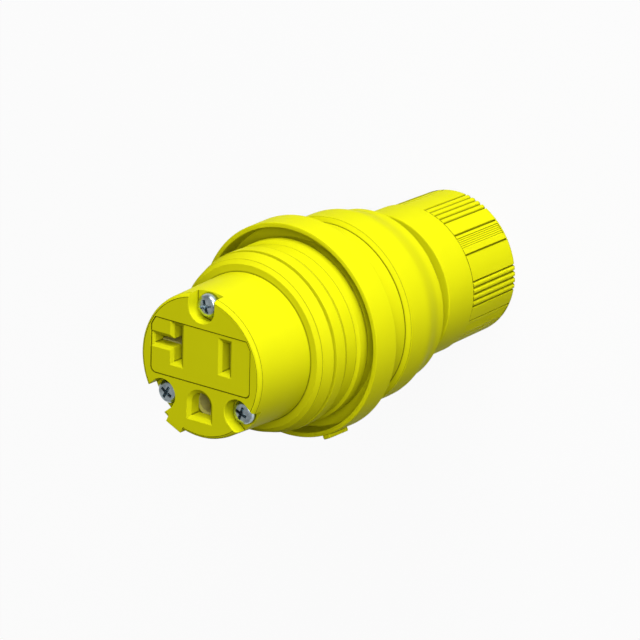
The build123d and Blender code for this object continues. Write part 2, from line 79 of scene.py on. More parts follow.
class ConnectorColours(bpy.types.PropertyGroup):
    yellow: bpy.props.FloatVectorProperty(
        name="Yellow", description="Moulded body colour", subtype="COLOR", size=3,
        default=(0.93, 0.925, 0.006), min=0, max=1)
    ring: bpy.props.FloatVectorProperty(
        name="Seal ring", description="Colour of the sealing band", subtype="COLOR", size=3,
        default=(0.9, 0.89, 0.007), min=0, max=1)
    steel: bpy.props.FloatVectorProperty(
        name="Screw steel", description="Colour of the face screws", subtype="COLOR", size=3,
        default=(0.42, 0.5, 0.6), min=0, max=1)
    brass: bpy.props.FloatVectorProperty(
        name="Contact metal", description="Colour of the blade contacts", subtype="COLOR", size=3,
        default=(0.93, 0.86, 0.3), min=0, max=1)
    black: bpy.props.FloatVectorProperty(
        name="Black", description="Colour of the grommet and the body seal", subtype="COLOR", size=3,
        default=(0.02, 0.02, 0.022), min=0, max=1)
    floor: bpy.props.FloatVectorProperty(
        name="Floor", description="Colour of the floor", subtype="COLOR", size=3,
        default=(0.9, 0.9, 0.9), min=0, max=1)


def sizes():
    return bpy.context.scene.connector_sizes


def colours():
    return bpy.context.scene.connector_colours


def mm(value):
    """A size property in millimetres."""
    return value / MM


def level(depth):
    """Height above the nut's rear end of a depth behind the mating face, in millimetres."""
    return mm(sizes().length) - depth


# Modelling steps

def only(obj):
    """Makes one object the only selected and active one, in object mode."""
    active = bpy.context.view_layer.objects.active
    if active and active.mode != "OBJECT":
        bpy.ops.object.mode_set(mode="OBJECT")
    bpy.ops.object.select_all(action="DESELECT")
    if obj:
        obj.select_set(True)
        bpy.context.view_layer.objects.active = obj


def edit_all(obj):
    only(obj)
    bpy.ops.object.mode_set(mode="EDIT")
    bpy.ops.mesh.select_mode(type="VERT")
    bpy.ops.mesh.select_all(action="SELECT")


def leave_edit():
    bpy.ops.object.mode_set(mode="OBJECT")


def select_vertices(obj, wanted):
    """Selects the vertices that pass a test, and stays in edit mode."""
    edit_all(obj)
    bpy.ops.mesh.select_all(action="DESELECT")
    leave_edit()
    for vertex in obj.data.vertices:
        vertex.select = wanted(vertex)
    bpy.ops.object.mode_set(mode="EDIT")


def select_points(obj, wanted):
    """Selects the vertices whose place passes a test, and stays in edit mode."""
    select_vertices(obj, lambda vertex: wanted(obj.matrix_world @ vertex.co))


def select_upright_edges(obj, wanted):
    """Selects the upright edges whose place passes a test, and stays in edit mode."""
    edit_all(obj)
    bpy.ops.mesh.select_mode(type="EDGE")
    bpy.ops.mesh.select_all(action="DESELECT")
    leave_edit()
    for edge in obj.data.edges:
        low, high = (obj.matrix_world @ obj.data.vertices[index].co for index in edge.vertices)
        edge.select = wanted(low) and wanted(high) and abs(low.z - high.z) > 0.001
    bpy.ops.object.mode_set(mode="EDIT")


def close_up(obj):
    """Merges doubled points and turns the faces outwards."""
    edit_all(obj)
    bpy.ops.mesh.remove_doubles(threshold=0.001)
    bpy.ops.mesh.normals_make_consistent(inside=False)
    leave_edit()


def start_circle(name, ring, segments):
    """A circle for a ring of (radius, level), left in edit mode."""
    only(None)
    radius, here = ring
    bpy.ops.mesh.primitive_circle_add(
        vertices=segments, radius=radius, location=(0, 0, here), fill_type="NOTHING")
    obj = bpy.context.object
    obj.name = name
    edit_all(obj)
    return obj


def extrude_through(rings, extrude):
    """Carries the selection through rings of (radius, level) with an extrude operator."""
    radius, here = rings[0]
    for next_radius, there in rings[1:]:
        extrude(TRANSFORM_OT_translate={"value": (0, 0, there - here)})
        factor = next_radius / radius
        if abs(factor - 1) > 1e-9:
            bpy.ops.transform.resize(value=(factor, factor, 1), center_override=(0, 0, there))
        radius, here = next_radius, there


def turned(name, rings):
    """A closed ring of revolution: a circle extruded round its section and back to the start."""
    obj = start_circle(name, rings[0], SEGMENTS)
    extrude_through(rings + [rings[0]], bpy.ops.mesh.extrude_edges_move)
    leave_edit()
    close_up(obj)
    return obj


def capped(name, rings, segments=SEGMENTS, outline=None):
    """A solid of revolution with flat ends, or with an outline of (angle, factor) in place of the circle."""
    obj = start_circle(name, rings[0], len(outline) * GRIP_REPEATS if outline else segments)
    if outline:
        shape_outline(obj, outline)
        edit_all(obj)
    bpy.ops.mesh.edge_face_add()
    bpy.ops.mesh.select_all(action="SELECT")
    extrude_through(rings, bpy.ops.mesh.extrude_region_move)
    leave_edit()
    close_up(obj)
    return obj


def shape_outline(obj, outline):
    """Moves the points of a circle onto a repeating outline of (angle, factor)."""
    centre = (0, 0, obj.location.z)
    for index, (angle, factor) in enumerate(outline):
        select_vertices(obj, lambda vertex: vertex.index % len(outline) == index)
        leave_edit()
        place = obj.data.vertices[index].co
        turn = radians(angle) - atan2(place.y, place.x)
        bpy.ops.object.mode_set(mode="EDIT")
        bpy.ops.transform.rotate(value=-turn, orient_axis="Z", center_override=centre)
        bpy.ops.transform.resize(value=(factor, factor, 1), center_override=centre)


def block(name, x_range, y_range, z_range):
    """A box from a plane and one extrusion."""
    return tapered_block(name, x_range, y_range, [(z_range[0], 0), (z_range[1], 0)])


def tapered_block(name, x_range, y_range, steps):
    """A box extruded through (level, margin) steps, each widened all round by its margin."""
    only(None)
    width, depth = x_range[1] - x_range[0], y_range[1] - y_range[0]
    x, y = sum(x_range) / 2, sum(y_range) / 2
    here, margin = steps[0]
    bpy.ops.mesh.primitive_plane_add(size=1, location=(x, y, here))
    obj = bpy.context.object
    obj.name = name
    edit_all(obj)
    bpy.ops.transform.resize(
        value=(width + 2 * margin, depth + 2 * margin, 1), center_override=(x, y, here))
    for there, next_margin in steps[1:]:
        bpy.ops.mesh.extrude_region_move(TRANSFORM_OT_translate={"value": (0, 0, there - here)})
        value = ((width + 2 * next_margin) / (width + 2 * margin),
                 (depth + 2 * next_margin) / (depth + 2 * margin), 1)
        bpy.ops.transform.resize(value=value, center_override=(x, y, there))
        here, margin = there, next_margin
    leave_edit()
    close_up(obj)
    return obj


def moved(obj, x, y, turn=0):
    """Moves a piece, and turns it about its own upright axis first."""
    only(obj)
    bpy.ops.object.transform_apply(location=True, rotation=True, scale=True)
    obj.rotation_euler = (0, 0, radians(turn))
    obj.location = (x, y, 0)
    bpy.ops.object.transform_apply(location=True, rotation=True, scale=True)
    return obj


def at_screw(obj, angle, turn=0):
    """Moves a piece from the axis to a face screw's place."""
    return moved(obj, SCREW_CIRCLE * cos(radians(angle)), SCREW_CIRCLE * sin(radians(angle)), turn)


def screw_hole(angle, low, high):
    """Clearance hole of a face screw between two levels."""
    return at_screw(capped("screw hole", [(SCREW_HOLE, low), (SCREW_HOLE, high)], 48), angle)


def combine(obj, other, operation):
    """Applies a boolean with another piece, which is then removed."""
    only(obj)
    modifier = obj.modifiers.new("Combine", "BOOLEAN")
    modifier.operation = operation
    modifier.solver = "EXACT"
    modifier.object = other
    bpy.ops.object.modifier_apply(modifier=modifier.name)
    bpy.data.objects.remove(other)


def cut(obj, *cutters):
    for cutter in cutters:
        combine(obj, cutter, "DIFFERENCE")


def rounded(obj, width, segments):
    """Bevels every sharp edge."""
    only(obj)
    modifier = obj.modifiers.new("Round edges", "BEVEL")
    modifier.width = width
    modifier.segments = segments
    modifier.limit_method = "ANGLE"
    modifier.angle_limit = radians(28)
    modifier.use_clamp_overlap = True
    modifier.harden_normals = False
    bpy.ops.object.modifier_apply(modifier=modifier.name)


def complete(obj, name, material, nodes):
    """Brings a piece to metres, and gives it its name, finish and place in the frame."""
    only(obj)
    bpy.ops.object.transform_apply(location=True, rotation=True, scale=True)
    obj.scale = (MM, MM, MM)
    bpy.ops.object.transform_apply(location=True, rotation=True, scale=True)
    bpy.ops.object.shade_smooth_by_angle(angle=radians(32))
    modifier = obj.modifiers.new("Flat faces stay flat", "WEIGHTED_NORMAL")
    modifier.keep_sharp = True
    modifier.weight = 100
    bpy.ops.object.modifier_apply(modifier=modifier.name)
    obj.name = name
    obj.data.name = name
    obj.data.materials.clear()
    obj.data.materials.append(material)
    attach(obj, BODY)
    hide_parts(*nodes)


# Finishes

def new_group(name, inputs, outputs):
    """A shader node group with named inputs and outputs, and its two end nodes."""
    group = bpy.data.node_groups.new(name, "ShaderNodeTree")
    for label, default in inputs:
        kind = "NodeSocketVector" if label == "Vector" else "NodeSocketFloat"
        socket = group.interface.new_socket(name=label, in_out="INPUT", socket_type=kind)
        if label != "Vector":
            socket.default_value = default
    for label in outputs:
        group.interface.new_socket(name=label, in_out="OUTPUT", socket_type="NodeSocketFloat")
    return group, group.nodes.new("NodeGroupInput"), group.nodes.new("NodeGroupOutput")


def feed(tree, socket, value):
    """Links a socket to another one, or gives it a plain value."""
    if hasattr(value, "links"):
        tree.links.new(value, socket)
    else:
        socket.default_value = value


def math_node(tree, operation, first, second, clamp=False):
    node = tree.nodes.new("ShaderNodeMath")
    node.operation = operation
    node.use_clamp = clamp
    for socket, value in zip(node.inputs, (first, second)):
        feed(tree, socket, value)
    return node.outputs[0]


def noise_node(tree, vector, scale, detail, roughness):
    node = tree.nodes.new("ShaderNodeTexNoise")
    tree.links.new(vector, node.inputs["Vector"])
    feed(tree, node.inputs["Scale"], scale)
    node.inputs["Detail"].default_value = detail
    node.inputs["Roughness"].default_value = roughness
    return node.outputs["Fac"]


def grain_group():
    """Fine moulded grain: a height for bump and a soft mottle for colour."""
    existing = bpy.data.node_groups.get("Moulded grain")
    if existing:
        return existing
    group, start, end = new_group(
        "Moulded grain", [("Vector", 0), ("Grain Scale", 2600.0), ("Mottle Scale", 90.0)],
        ["Height", "Mottle"])
    fine = noise_node(group, start.outputs["Vector"], start.outputs["Grain Scale"], 4.0, 0.6)
    soft = noise_node(group, start.outputs["Vector"], start.outputs["Mottle Scale"], 2.0, 0.5)
    group.links.new(fine, end.inputs["Height"])
    group.links.new(soft, end.inputs["Mottle"])
    return group


def wear_group():
    """Rubbed edges: a mask that is high where the surface is convex and broken up by noise."""
    existing = bpy.data.node_groups.get("Rubbed edges")
    if existing:
        return existing
    group, start, end = new_group(
        "Rubbed edges", [("Vector", 0), ("Amount", 0.5), ("Break Up Scale", 700.0)], ["Mask"])
    geometry = group.nodes.new("ShaderNodeNewGeometry")
    spread = group.nodes.new("ShaderNodeMapRange")
    spread.inputs["From Min"].default_value = 0.52
    spread.inputs["From Max"].default_value = 0.62
    group.links.new(geometry.outputs["Pointiness"], spread.inputs["Value"])
    broken = noise_node(group, start.outputs["Vector"], start.outputs["Break Up Scale"], 3.0, 0.6)
    mask = math_node(group, "MULTIPLY", spread.outputs["Result"], broken)
    mask = math_node(group, "MULTIPLY", mask, start.outputs["Amount"], clamp=True)
    group.links.new(mask, end.inputs["Mask"])
    return group


def crease_shade_group():
    """Painted shade for seams and inner corners: a mask that is high within a small distance of another
    surface.
    """
    existing = bpy.data.node_groups.get("Painted crease shade")
    if existing:
        return existing
    group, start, end = new_group("Painted crease shade", [("Distance", 0.0005), ("Amount", 0.8)], ["Mask"])
    near = group.nodes.new("ShaderNodeAmbientOcclusion")
    near.samples = 12
    group.links.new(start.outputs["Distance"], near.inputs["Distance"])
    spread = group.nodes.new("ShaderNodeMapRange")
    spread.inputs["From Min"].default_value = 0.9
    spread.inputs["From Max"].default_value = 0.5
    group.links.new(near.outputs["AO"], spread.inputs["Value"])
    mask = math_node(group, "MULTIPLY", spread.outputs["Result"], start.outputs["Amount"], clamp=True)
    group.links.new(mask, end.inputs["Mask"])
    return group


def group_node(tree, group, vector, **values):
    node = tree.nodes.new("ShaderNodeGroup")
    node.node_tree = group
    if vector:
        tree.links.new(vector, node.inputs["Vector"])
    for label, value in values.items():
        node.inputs[label.replace("_", " ")].default_value = value
    return node


def mix_colour(tree, factor, first, second):
    node = tree.nodes.new("ShaderNodeMix")
    node.data_type = "RGBA"
    tree.links.new(factor, node.inputs["Factor"])
    for socket, value in ((node.inputs["A"], first), (node.inputs["B"], second)):
        feed(tree, socket, value if hasattr(value, "links") else (*value, 1))
    return node.outputs["Result"]


def start_material(name):
    material = bpy.data.materials.new(name)
    material.use_nodes = True
    tree = material.node_tree
    shader = tree.nodes["Principled BSDF"]
    place = tree.nodes.new("ShaderNodeTexCoord").outputs["Object"]
    return material, tree, shader, place


def roughness_from(tree, shader, value, low, high):
    spread = tree.nodes.new("ShaderNodeMapRange")
    spread.inputs["To Min"].default_value = low
    spread.inputs["To Max"].default_value = high
    tree.links.new(value, spread.inputs["Value"])
    tree.links.new(spread.outputs["Result"], shader.inputs["Roughness"])


def bump_from(tree, shader, height, strength, distance):
    bump = tree.nodes.new("ShaderNodeBump")
    bump.inputs["Strength"].default_value = strength
    bump.inputs["Distance"].default_value = distance
    tree.links.new(height, bump.inputs["Height"])
    tree.links.new(bump.outputs["Normal"], shader.inputs["Normal"])


def shade(colour, factor):
    return tuple(min(1.0, channel * factor) for channel in colour)


# Share of its light that a moulded surface passes on to the surfaces beside it
SHARED_LIGHT = 0.35


def moulded_finish(name, colour, rough=(0.46, 0.62), grain=2600.0, strength=0.25, specular=0.03):
    """Moulded plastic or rubber: mottled colour, painted shade in creases and seams, fine grain and smoother
    rubbed edges.
    """
    material, tree, shader, place = start_material(name)
    grain_node = group_node(tree, grain_group(), place, Grain_Scale=grain, Mottle_Scale=110.0)
    wear_node = group_node(tree, wear_group(), place, Amount=1.0, Break_Up_Scale=800.0)
    crease_shade_node = group_node(tree, crease_shade_group(), None, Distance=0.0005, Amount=0.9)
    base = mix_colour(tree, grain_node.outputs["Mottle"], shade(colour, 0.97), shade(colour, 1.03))
    # Painted shade: the colour darkens to an eighth in creases, seams and inner corners, where shade falls
    base = mix_colour(tree, crease_shade_node.outputs["Mask"], base, shade(colour, 0.12))
    path = tree.nodes.new("ShaderNodeLightPath")
    base = mix_colour(tree, path.outputs["Is Diffuse Ray"], base, shade(colour, SHARED_LIGHT))
    tree.links.new(base, shader.inputs["Base Color"])
    polish = math_node(
        tree, "SUBTRACT", grain_node.outputs["Height"], wear_node.outputs["Mask"], clamp=True)
    roughness_from(tree, shader, polish, *rough)
    bump_from(tree, shader, grain_node.outputs["Height"], strength, 0.00003)
    shader.inputs["Specular IOR Level"].default_value = specular
    return material


def metal_finish(name, colour, rough=(0.2, 0.34), stretch=(1, 1, 12), metallic=1.0,
                 mottle=(260.0, 0.82, 1.12)):
    """Plated or plain metal with fine drawn lines, mottled at a scale between a darker and a lighter share: a
    narrow spread is a faint tone, and a wide one paints dark and bright reflection blotches.
    """
    material, tree, shader, place = start_material(name)
    mapping = tree.nodes.new("ShaderNodeMapping")
    mapping.inputs["Scale"].default_value = stretch
    tree.links.new(place, mapping.inputs["Vector"])
    lines = noise_node(tree, mapping.outputs["Vector"], 900.0, 4.0, 0.65)
    mottle_scale, darker, lighter = mottle
    grain_node = group_node(tree, grain_group(), place, Grain_Scale=1400.0, Mottle_Scale=mottle_scale)
    base = mix_colour(tree, grain_node.outputs["Mottle"], shade(colour, darker), shade(colour, lighter))
    tree.links.new(base, shader.inputs["Base Color"])
    roughness_from(tree, shader, lines, *rough)
    bump_from(tree, shader, lines, 0.2, 0.00002)
    shader.inputs["Metallic"].default_value = metallic
    return material


def finish(name, maker, *args, **values):
    """A named finish, made the first time it is asked for."""
    return bpy.data.materials.get(name) or maker(name, *args, **values)


def yellow_plastic():
    return finish("Yellow moulded plastic", moulded_finish, tuple(colours().yellow))


def ring_rubber():
    return finish("Yellow sealing rubber", moulded_finish, tuple(colours().ring),
                  rough=(0.6, 0.72), grain=1900.0, strength=0.35, specular=0.02)


# The screw steel's wide mottle, from a tenth to nearly twice its colour, is painted reflection: blotches that
# stand in for the glints and dark reflections on the heads
def screw_steel():
    return finish("Plated screw steel", metal_finish, tuple(colours().steel), mottle=(700.0, 0.1, 1.9))


def contact_metal():
    return finish("Contact metal", metal_finish, tuple(colours().brass), rough=(0.5, 0.65),
                  stretch=(12, 12, 1), metallic=0.5)


def black_moulded():
    return finish("Black moulded nylon", moulded_finish, tuple(colours().black), specular=0.4)


# Pieces

# Blade slots as ranges in x and y, and the ground opening's centre, radius and foot
LINE_SLOT = ((5.35, 7.35), (0.05, 6.75))
NEUTRAL_SLOT = ((-7.35, -5.35), (-0.7, 7.5))
NEUTRAL_ARM = ((-12.35, -6.35), (2.4, 4.4))
GROUND_Y = -8.5
GROUND_RADIUS = 2.55
GROUND_FOOT = 2.8

# Depths of the lead-in, of the slots, and of the contact chambers' two ends with their wider margin
LEAD_IN = 0.6
SLOT_DEPTH = 3.5
CHAMBER_FRONT = 3.1
CHAMBER_BACK = 20.5
CHAMBER_MARGIN = 1.2

# Panel of the face: half width, low and high edge, and the radius where the rim clips it
PANEL_HALF = 13.15
PANEL_LOW = -4.1
PANEL_HIGH = 8.45
PANEL_RIM = 14.7


def lead_in():
    """Steps of an opening, from above the face: flared mouth, bevelled lead-in, straight walls."""
    face = level(0)
    return [(face + 1, 0.9), (face, 0.84), (face - 0.05, 0.8), (level(LEAD_IN), 0), (level(SLOT_DEPTH), 0)]


def ground_cutter():
    """Ground opening: a round top and a flat bottom with the same lead-in."""
    steps = lead_in()
    top = capped("ground mouth", [(GROUND_RADIUS + margin, height) for height, margin in steps], 72)
    moved(top, 0, GROUND_Y)
    foot = tapered_block("ground foot", (-GROUND_RADIUS, GROUND_RADIUS),
                         (GROUND_Y - GROUND_FOOT, GROUND_Y), steps)
    cut(foot, block("upper half", (-5, 5), (GROUND_Y, GROUND_Y + 6), (level(SLOT_DEPTH) - 1, level(0) + 2)))
    combine(top, foot, "UNION")
    return top


def widened(side, margin=CHAMBER_MARGIN):
    return side[0] - margin, side[1] + margin


def chambers():
    """Wider contact chambers behind the slots."""
    heights = (level(CHAMBER_BACK), level(CHAMBER_FRONT))
    radius = GROUND_RADIUS + CHAMBER_MARGIN
    line = block("line chamber", widened(LINE_SLOT[0]), widened(LINE_SLOT[1]), heights)
    stem = block("neutral stem", widened(NEUTRAL_SLOT[0]), widened(NEUTRAL_SLOT[1]), heights)
    arm = block("neutral arm", (NEUTRAL_ARM[0][0] - CHAMBER_MARGIN, -6.0), widened(NEUTRAL_ARM[1]), heights)
    tube = capped("ground chamber", [(radius, height) for height in heights], 72)
    moved(tube, 0, GROUND_Y)
    foot = block("ground chamber foot", (-radius, radius),
                 (GROUND_Y - GROUND_FOOT - CHAMBER_MARGIN, GROUND_Y), heights)
    return [line, stem, arm, tube, foot]


def screw_recess(angle):
    """Recess of a face screw, open through the rim, and its hole."""
    face, seat, radius = level(0), level(SCREW_SEAT), 3.35
    steps = [(seat, 0), (face - 0.1, 0), (face, 0.1), (face + 1, 0.5)]
    cup = capped("screw cup", [(radius + margin, height) for height, margin in steps], 72)
    moved(cup, SCREW_CIRCLE, 0)
    channel = tapered_block("screw channel", (SCREW_CIRCLE, 20), (-radius, radius), steps)
    combine(cup, channel, "UNION")
    moved(cup, 0, 0, angle)
    return [cup, screw_hole(angle, level(CHAMBER_BACK), seat + 0.5)]


def panel_cutter(inset, deep):
    """Panel round the blade slots, clipped by the round face and drawn in by an inset."""
    face = level(0)
    half, low, high, rim = PANEL_HALF - inset, PANEL_LOW + inset, PANEL_HIGH - inset, PANEL_RIM - inset
    panel = block("panel", (-half, half), (low, high), (face - deep, face + 1))
    select_upright_edges(panel, lambda place: place.y < low + 0.1)
    bpy.ops.mesh.bevel(offset=1.2, segments=6, affect="EDGES")
    leave_edit()
    disc = capped("panel disc", [(rim, face - deep - 1), (rim, face + 2)])
    combine(panel, disc, "INTERSECT")
    return panel


def panel_groove():
    """Fine groove along the panel's edge."""
    groove = panel_cutter(0, 0.32)
    cut(groove, panel_cutter(0.24, 0.6))
    return groove


class ConnectorFace(bpy.types.Operator):
    """Model the barrel with the mating face, its slots, panel, recesses and key"""
    bl_idname = "connector.face"
    bl_label = "Mating face"

    def execute(self, context):
        face, back = level(0), level(20.0)
        rim = mm(sizes().face_radius)
        rear = mm(sizes().barrel_radius)
        rings = [(15.6, back), (15.6, level(16.6)), (rear, level(16.6)), (15.71, level(1.14)),
                 (15.56, level(1.06)), (15.68, level(0.96)), (15.62, level(0.62)), (15.46, level(0.28)),
                 (15.24, level(0.06)), (rim + 0.06, face), (rim - 0.02, level(0.12)), (rim - 0.1, face)]
        body = capped("front_housing", rings, 192)
        key = block("key", (12.0, 16.4), (-2.1, 2.1), (level(16.6), face))
        select_points(key, lambda place: place.x > 15)
        bpy.ops.mesh.bevel(offset=mm(sizes().edge_round), segments=2, affect="EDGES")
        leave_edit()
        moved(key, 0, 0, 245.3)
        combine(body, key, "UNION")
        cut(body, panel_cutter(0, 0.08), panel_groove())
        for slot in (LINE_SLOT, NEUTRAL_SLOT, NEUTRAL_ARM):
            cut(body, tapered_block("slot", *slot, lead_in()))
        cut(body, ground_cutter())
        cut(body, *chambers())
        for angle in SCREW_ANGLES.values():
            cut(body, *screw_recess(angle))
        complete(body, "front_housing", yellow_plastic(), ["front_insulator"])
        return {"FINISHED"}


class ConnectorRing(bpy.types.Operator):
    """Model the stepped sealing band behind the barrel"""
    bl_idname = "connector.ring"
    bl_label = "Seal ring"

    def execute(self, context):
        rings = [(15.65, level(20.4)), (15.65, level(16.6)), (17.76, level(16.6)), (17.8, level(16.63)),
                 (18.6, level(17.4)), (18.52, level(17.52)), (18.68, level(17.62)), (19.2, level(19.4)),
                 (19.41, level(20.1)), (19.42, level(20.25)), (19.33, level(20.37)), (19.2, level(20.4))]
        ring = turned("sealing_band", rings)
        complete(ring, "sealing_band", ring_rubber(), ["seal_ring"])
        return {"FINISHED"}


class ConnectorCoupling(bpy.types.Operator):
    """Model the banded sleeve with the open skirt and its index rib"""
    bl_idname = "connector.coupling"
    bl_label = "Coupling"

    def execute(self, context):
        outer = mm(sizes().skirt_radius)
        rings = [
            (15.75, 20.4), (17.6, 20.4), (17.6, 21.0), (19.5, 21.0), (19.6, 21.06), (19.65, 21.2),
            (19.65, 23.8), (19.52, 23.9), (19.6, 24.0), (19.4, 24.28), (19.12, 24.78), (18.99, 25.02),
            (18.86, 25.12), (18.95, 25.24), (18.95, 28.26), (18.86, 28.38), (18.99, 28.48),
            (19.1, 28.6), (19.5, 28.82), (19.6, 28.9), (19.65, 29.05), (19.65, 30.98),
            (19.52, 31.08), (19.6, 31.18), (19.15, 31.9), (18.99, 32.13), (18.86, 32.23), (18.95, 32.35),
            (18.95, 33.8), (19.05, 34.08), (19.3, 34.2), (21.5, 34.2), (21.8, 34.1), (21.92, 33.85),
            (22.15, 30.05), (22.2, 29.93), (22.35, 29.9), (outer - 0.25, 29.9), (outer - 0.07, 29.97),
            (outer, 30.15), (outer, 36.3), (outer - 0.09, 36.51), (outer - 0.3, 36.6),
            (19.95, 36.6), (19.67, 36.72), (19.55, 37.0), (19.55, 44.0), (19.25, 44.2), (16.9, 44.2),
            (16.9, 36.4), (9.5, 36.4), (9.5, 30.0), (15.75, 30.0)]
        body = turned("coupling_sleeve", [(radius, level(depth)) for radius, depth in rings])
        index = block("index", (22.3, 24.1), (-1.0, 1.0), (level(36.4), level(30.1)))
        rounded(index, 0.3, 3)
        moved(index, 0, 0, -64.5)
        combine(body, index, "UNION")
        for angle in SCREW_ANGLES.values():
            cut(body, screw_hole(angle, level(36.9), level(29.5)))
        complete(body, "coupling_sleeve", yellow_plastic(), ["coupling_body"])
        return {"FINISHED"}


class ConnectorHousing(bpy.types.Operator):
    """Model the rounded rear housing with its neck"""
    bl_idname = "connector.housing"
    bl_label = "Rear housing"

    def execute(self, context):
        full = mm(sizes().housing_radius)
        slope = [(full, 49.8), (full - 0.05, 50.9), (full - 0.2, 51.7), (full - 0.48, 52.6),
                 (full - 0.85, 53.6), (full - 1.22, 54.55), (full - 1.5, 55.4), (full - 1.68, 56.1),
                 (full - 1.77, 56.8), (18.86, 57.3)]
        rings = [
            (14.6, 38.4), (16.75, 38.4), (16.75, 44.2), (19.3, 44.2), (19.75, 44.4), (20.5, 44.9),
            (20.45, 45.02), (full, 45.14), *slope, (18.85, 57.9), (18.78, 58.1), (18.6, 58.2), (13.75, 58.2),
            (13.6, 58.3), (13.6, 70.2), (11.6, 70.2), (11.6, 62.0), (9.4, 59.0), (9.4, 57.5), (14.6, 52.2)]
        body = turned("rear_shell", [(radius, level(depth)) for radius, depth in rings])
        complete(body, "rear_shell", yellow_plastic(), ["rear_housing"])
        return {"FINISHED"}


# Grip of the nut: how often its pattern repeats, radius of its land, and pitch of its four ribs in degrees
GRIP_REPEATS = 5
LAND = 15.85
RIBS = 4
RIB_PITCH = 5.1

# Half a rib's section: share of the half pitch from its foot, and height above the land
RIB_SECTION = ((0.0, -0.42), (0.16, -0.36), (0.42, -0.04), (0.62, 0.06), (1.0, 0.08))
RIB_EDGE = 0.9

# Pads: section of a groove and the angles of both, then the saw teeth with their gap and two depths
GROOVE_SECTION = ((-0.95, 0.0), (-0.75, 0.12), (0.0, 0.38), (0.75, 0.12), (0.95, 0.0))
PAD_GROOVES = (31.5, 48.8)
TEETH_START = 36.2
TEETH = 6
TOOTH_PITCH = 1.6
TOOTH_GAP = 0.12
TOOTH_DEPTHS = (0.05, 0.16)

# Angles of the plain points on both sides of a pad
LAND_BEFORE = (13.5, 17, 20.5, 24, 27.5)
LAND_AFTER = (52.5, 55.5, 58.5)


def pad_profile():
    """One pad of the grip as (angle, depth below the land): two grooves and a row of saw teeth."""
    first, second = ([(middle + away, depth) for away, depth in GROOVE_SECTION] for middle in PAD_GROOVES)
    saw = [(TEETH_START - TOOTH_GAP, 0.0)]
    for tooth in range(TEETH):
        angle = TEETH_START + tooth * TOOTH_PITCH
        saw += [(angle, TOOTH_DEPTHS[0]), (angle + TOOTH_PITCH - TOOTH_GAP, TOOTH_DEPTHS[1])]
    saw.append((TEETH_START + TEETH * TOOTH_PITCH, 0.0))
    return first + saw + second


def grip_outline():
    """One repeat of the grip, without its pad, as (angle, factor on the land radius)."""
    half_group = RIBS * RIB_PITCH / 2
    points = [(-half_group - RIB_EDGE, 1.0)]
    for rib in range(RIBS):
        foot = rib * RIB_PITCH - half_group
        rise = [(share * RIB_PITCH / 2, 1 + height / LAND) for share, height in RIB_SECTION]
        points += [(foot + away, factor) for away, factor in rise]
        points += [(foot + RIB_PITCH - away, factor) for away, factor in reversed(rise[1:-1])]
    points += [(half_group, 1 + RIB_SECTION[0][1] / LAND), (half_group + RIB_EDGE, 1.0)]
    pad = [angle for angle, depth in pad_profile()]
    return points + [(angle, 1.0) for angle in (*LAND_BEFORE, *pad, *LAND_AFTER)]


def sink_pad(obj, here, front, widen, chamfer):
    """Steps the grip's end in at the pads, and carries the stepped section on to a chamfered front."""
    select_points(obj, lambda place: abs(place.z - here) < 0.001)
    bpy.ops.mesh.extrude_region_move(TRANSFORM_OT_translate={"value": (0, 0, 0)})
    leave_edit()
    end = {vertex.index for vertex in obj.data.vertices if vertex.select}
    step = 360 / GRIP_REPEATS
    for angle, depth in pad_profile():
        if depth == 0:
            continue

        def on_line(vertex):
            away = degrees(atan2(vertex.co.y, vertex.co.x)) - angle
            return vertex.index in end and abs((away + step / 2) % step - step / 2) < 0.02

        select_vertices(obj, on_line)
        factor = 1 - depth / LAND
        bpy.ops.transform.resize(value=(factor, factor, 1), center_override=(0, 0, here))
    select_vertices(obj, lambda vertex: vertex.index in end)
    bpy.ops.mesh.extrude_region_move(TRANSFORM_OT_translate={"value": (0, 0, front - here)})
    bpy.ops.transform.resize(value=(widen, widen, 1), center_override=(0, 0, front))
    bpy.ops.mesh.extrude_region_move(TRANSFORM_OT_translate={"value": (0, 0, chamfer / 2)})
    factor = 1 - chamfer / LAND
    bpy.ops.transform.resize(value=(factor, factor, 1), center_override=(0, 0, front))
    leave_edit()
    close_up(obj)


class ConnectorNut(bpy.types.Operator):
    """Model the gland nut with its rib groups and toothed grip pads"""
    bl_idname = "connector.nut"
    bl_label = "Gland nut"

    def execute(self, context):
        full = mm(sizes().nut_radius)
        collar = capped("collar", [(15.0, level(73.0)), (15.0, level(72.12)), (15.5, level(72.08)),
                                   (16.06, level(71.86)), (16.17, level(71.7)), (full, level(63.75)),
                                   (full - 0.08, level(63.5)), (full - 0.24, level(63.4))])
        rings = [(0.952, 87.1), (0.966, 86.98), (0.975, 86.8), (0.978, 86.4)]
        share, start = rings[-1]
        grip = capped("grip", [(LAND * factor, level(depth)) for factor, depth in rings],
                      outline=grip_outline())
        sink_pad(grip, level(start), level(72.3), 1 / share, 0.4)
        combine(collar, grip, "UNION")
        bore = capped("bore", [(9.9, -0.6), (9.6, 0), (9.0, 0.6), (9.0, 3.5), (11.55, 3.5),
                               (11.55, level(70.4)), (13.75, level(70.4)), (13.75, level(63.8)),
                               (14.15, level(63.4)), (14.2, level(62.4))])
        cut(collar, bore)
        complete(collar, "grip_nut", yellow_plastic(), ["gland_nut"])
        return {"FINISHED"}


